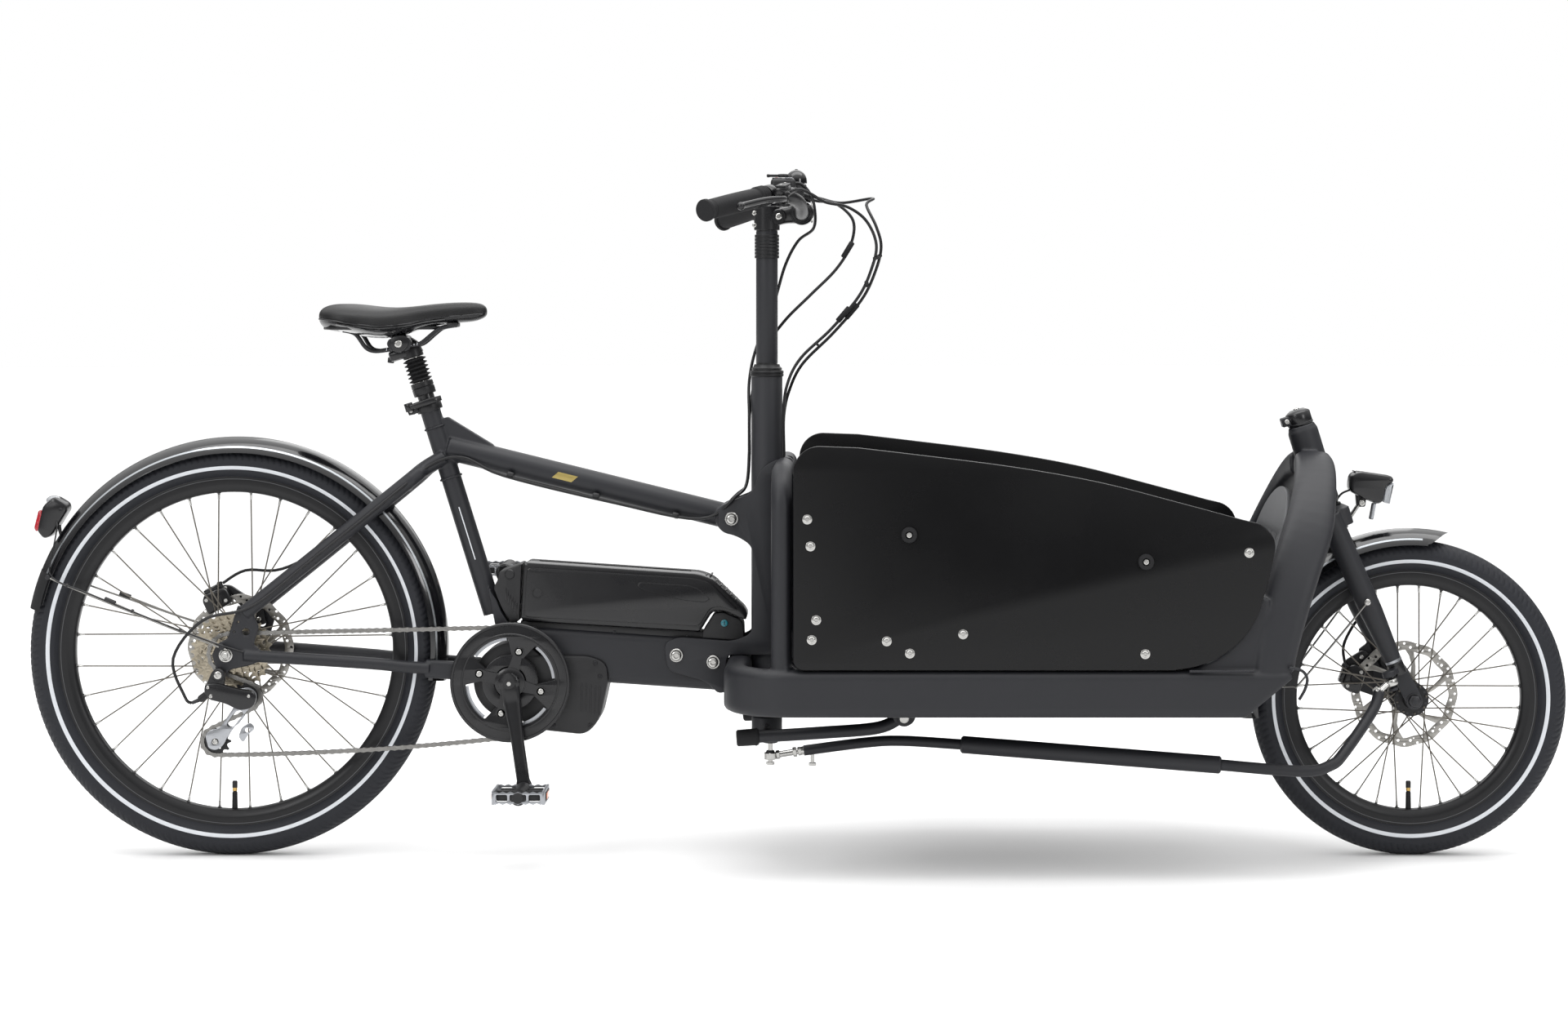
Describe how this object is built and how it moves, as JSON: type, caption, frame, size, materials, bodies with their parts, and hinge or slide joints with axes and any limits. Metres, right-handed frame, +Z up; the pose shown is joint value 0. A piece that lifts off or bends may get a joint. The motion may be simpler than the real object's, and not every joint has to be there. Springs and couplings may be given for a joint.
{
  "type": "electric cargo bicycle",
  "caption": "Long two-wheeled cargo bicycle with a box between the mast and the small front wheel, link steering, mid motor, frame battery, mudguards, lights and a folding stand.",
  "frame": {"origin": "on the ground, midway between the rear tyre's back and the front tyre's front, in the bicycle's middle plane", "axes": "+X forward towards the small front wheel, +Y to the rider's left, +Z up; the chain is on the -Y side"},
  "size_m": [2.5185, 0.6584, 1.115],
  "materials": {
    "frame_paint": "satin dark grey powder coat",
    "black_paint": "gloss black",
    "black_anodised": "black anodised, satin",
    "steel": "brushed",
    "spoke_steel": "drawn",
    "cog_steel": "plated",
    "tyre": "moulded rubber",
    "rubber": "matte",
    "black_plastic": "fine grain",
    "gloss_plastic": "polished",
    "panel": "black faced board",
    "saddle_cover": "synthetic, matte",
    "lock_teal": "moulded"
  },
  "bodies": {
    "frame": {"seat_tube": "frame_paint", "top_tube": "frame_paint", "lower_beam": "frame_paint", "rear_stays": "frame_paint", "mast_tube": "frame_paint", "mast_plates": "frame_paint", "box_frame": "frame_paint", "front_beams": "frame_paint", "motor": "black_plastic", "battery_rail": "black_plastic", "box_sides": "panel", "box_boards": "panel", "box_fasteners": "steel", "frame_bolts": "steel", "rear_fender": "gloss_plastic", "rear_light": "black_plastic", "chain": "steel", "derailleur": "black_anodised", "rear_brake": "black_anodised", "frame_cables": "rubber", "handlebar_cables": "rubber"},
    "battery": {"battery": "gloss_plastic"},
    "lock": {"lock_barrel": "lock_teal"},
    "rear_wheel": {"rear_rim": "black_anodised", "rear_tyre": "tyre", "rear_spokes": "spoke_steel", "rear_hub": "black_anodised", "rear_rotor": "steel"},
    "cassette": {"cassette": "cog_steel"},
    "crankset": {"crank_arms": "black_anodised", "chainring": "black_anodised"},
    "right_pedal": {"pedal_right": "black_plastic"},
    "left_pedal": {"pedal_left": "black_plastic"},
    "guide_pulley": {"guide_pulley": "black_plastic"},
    "tension_pulley": {"tension_pulley": "black_plastic"},
    "post": {"seatpost": "black_anodised", "seatpost_boot": "rubber"},
    "seat": {"seatpost_head": "black_anodised", "saddle_rails": "black_paint", "saddle": "saddle_cover"},
    "seat_clamp_lever": {"clamp_lever": "black_anodised"},
    "steering": {"steering_column": "frame_paint", "handlebar": "black_anodised", "grips": "rubber", "controls": "black_plastic"},
    "right_brake_lever": {"brake_lever_right": "black_anodised"},
    "left_brake_lever": {"brake_lever_left": "black_anodised"},
    "shift_lever": {"shift_lever": "black_plastic"},
    "bell_lever": {"bell_lever": "black_plastic"},
    "link_end": {"rod_end": "steel"},
    "steering_link": {"tie_rod": "frame_paint"},
    "fork": {"fork": "frame_paint", "front_fender": "gloss_plastic", "headlight": "black_plastic", "front_brake": "black_anodised"},
    "front_wheel": {"front_rim": "black_anodised", "front_tyre": "tyre", "front_spokes": "spoke_steel", "front_hub": "black_anodised"},
    "kickstand": {"kickstand": "frame_paint"}
  },
  "joints": [
    {"name": "rear_wheel_spin", "type": "hinge", "parent": "frame", "child": "rear_wheel", "pos_m": [-0.92475, 0, 0.3345], "axis": [0, 1, 0], "continuous": true},
    {"name": "crank_spin", "type": "hinge", "parent": "frame", "child": "crankset", "pos_m": [-0.467, 0, 0.288], "axis": [0, 1, 0], "continuous": true},
    {"name": "cassette_spin", "type": "hinge", "parent": "frame", "child": "cassette", "pos_m": [-0.92475, 0, 0.3345], "axis": [0, 1, 0], "continuous": true},
    {"name": "guide_pulley_spin", "type": "hinge", "parent": "frame", "child": "guide_pulley", "pos_m": [-0.895, 0, 0.265], "axis": [0, 1, 0], "continuous": true},
    {"name": "tension_pulley_spin", "type": "hinge", "parent": "frame", "child": "tension_pulley", "pos_m": [-0.9455, 0, 0.192], "axis": [0, 1, 0], "continuous": true},
    {"name": "right_pedal_spin", "type": "hinge", "parent": "crankset", "child": "right_pedal", "pos_m": [-0.44041, 0, 0.12009], "axis": [0, 1, 0], "continuous": true},
    {"name": "left_pedal_spin", "type": "hinge", "parent": "crankset", "child": "left_pedal", "pos_m": [-0.49359, 0, 0.45591], "axis": [0, 1, 0], "continuous": true},
    {"name": "steering_turn", "type": "hinge", "parent": "frame", "child": "steering", "pos_m": [-0.0515, 0, 0.5], "axis": [0, 0, 1], "range_deg": [-35, 35], "deforming": ["handlebar_cables"]},
    {"name": "fork_turn", "type": "hinge", "parent": "frame", "child": "fork", "pos_m": [0.835, 0, 0.672], "axis": [-0.2924, 0, 0.9563], "range_deg": [-35, 35]},
    {"name": "link_yaw", "type": "hinge", "parent": "steering", "child": "link_end", "pos_m": [-0.0435, -0.084, 0.173], "axis": [0, 0, 1], "range_deg": [-35, 35]},
    {"name": "link_pitch", "type": "hinge", "parent": "link_end", "child": "steering_link", "pos_m": [-0.0435, -0.084, 0.173], "axis": [0, 1, 0], "range_deg": [-2, 2]},
    {"name": "front_wheel_spin", "type": "hinge", "parent": "fork", "child": "front_wheel", "pos_m": [1.00125, 0, 0.258], "axis": [0, 1, 0], "continuous": true},
    {"name": "right_brake_pull", "type": "hinge", "parent": "steering", "child": "right_brake_lever", "pos_m": [-0.02009, -0.19434, 1.06837], "axis": [0, 0, 1], "range_deg": [-7, 0], "stiffness_Nm_per_rad": 1.2, "springref_deg": 5.73},
    {"name": "left_brake_pull", "type": "hinge", "parent": "steering", "child": "left_brake_lever", "pos_m": [-0.02009, 0.19434, 1.06837], "axis": [0, 0, 1], "range_deg": [0, 7], "stiffness_Nm_per_rad": 1.2, "springref_deg": -5.73},
    {"name": "shift_press", "type": "hinge", "parent": "steering", "child": "shift_lever", "pos_m": [-0.022, -0.112, 1.109], "axis": [0, 0, 1], "range_deg": [-25, 0], "stiffness_Nm_per_rad": 0.3, "springref_deg": 5.73},
    {"name": "bell_press", "type": "hinge", "parent": "steering", "child": "bell_lever", "pos_m": [-0.0262, -0.062, 1.101], "axis": [0, 0, 1], "range_deg": [0, 15], "stiffness_Nm_per_rad": 0.2, "springref_deg": -5.73},
    {"name": "seat_height", "type": "slide", "parent": "frame", "child": "post", "axis": [-0.2974, 0, 0.9548], "range_m": [-0.01, 0.15]},
    {"name": "seat_suspension", "type": "slide", "parent": "post", "child": "seat", "axis": [-0.2974, 0, 0.9548], "range_m": [-0.03, 0], "stiffness_N_per_m": 30000, "springref_m": 0.002, "deforming": ["seatpost_boot"]},
    {"name": "clamp_lever_turn", "type": "hinge", "parent": "frame", "child": "seat_clamp_lever", "pos_m": [-0.63624, -0.019, 0.73384], "axis": [-0.2974, 0, 0.9548], "range_deg": [-100, 0]},
    {"name": "battery_lift", "type": "slide", "parent": "frame", "child": "battery", "axis": [0.0675, 0, 0.9977], "range_m": [0, 0.06]},
    {"name": "lock_turn", "type": "hinge", "parent": "frame", "child": "lock", "pos_m": [-0.12, 0, 0.382], "axis": [0, 1, 0], "range_deg": [-90, 0]},
    {"name": "kickstand_fold", "type": "hinge", "parent": "frame", "child": "kickstand", "pos_m": [0.172, 0, 0.24], "axis": [0, 1, 0], "range_deg": [-68, 0]}
  ],
  "couplings": [
    {"joint": "cassette_spin", "follows": "crank_spin", "ratio": 2.75},
    {"joint": "guide_pulley_spin", "follows": "crank_spin", "ratio": -4},
    {"joint": "tension_pulley_spin", "follows": "crank_spin", "ratio": 4},
    {"joint": "fork_turn", "follows": "steering_turn", "ratio": 1},
    {"joint": "link_yaw", "follows": "steering_turn", "ratio": -1},
    {"joint": "link_pitch", "follows": "steering_turn", "ratio": -0.0223}
  ]
}
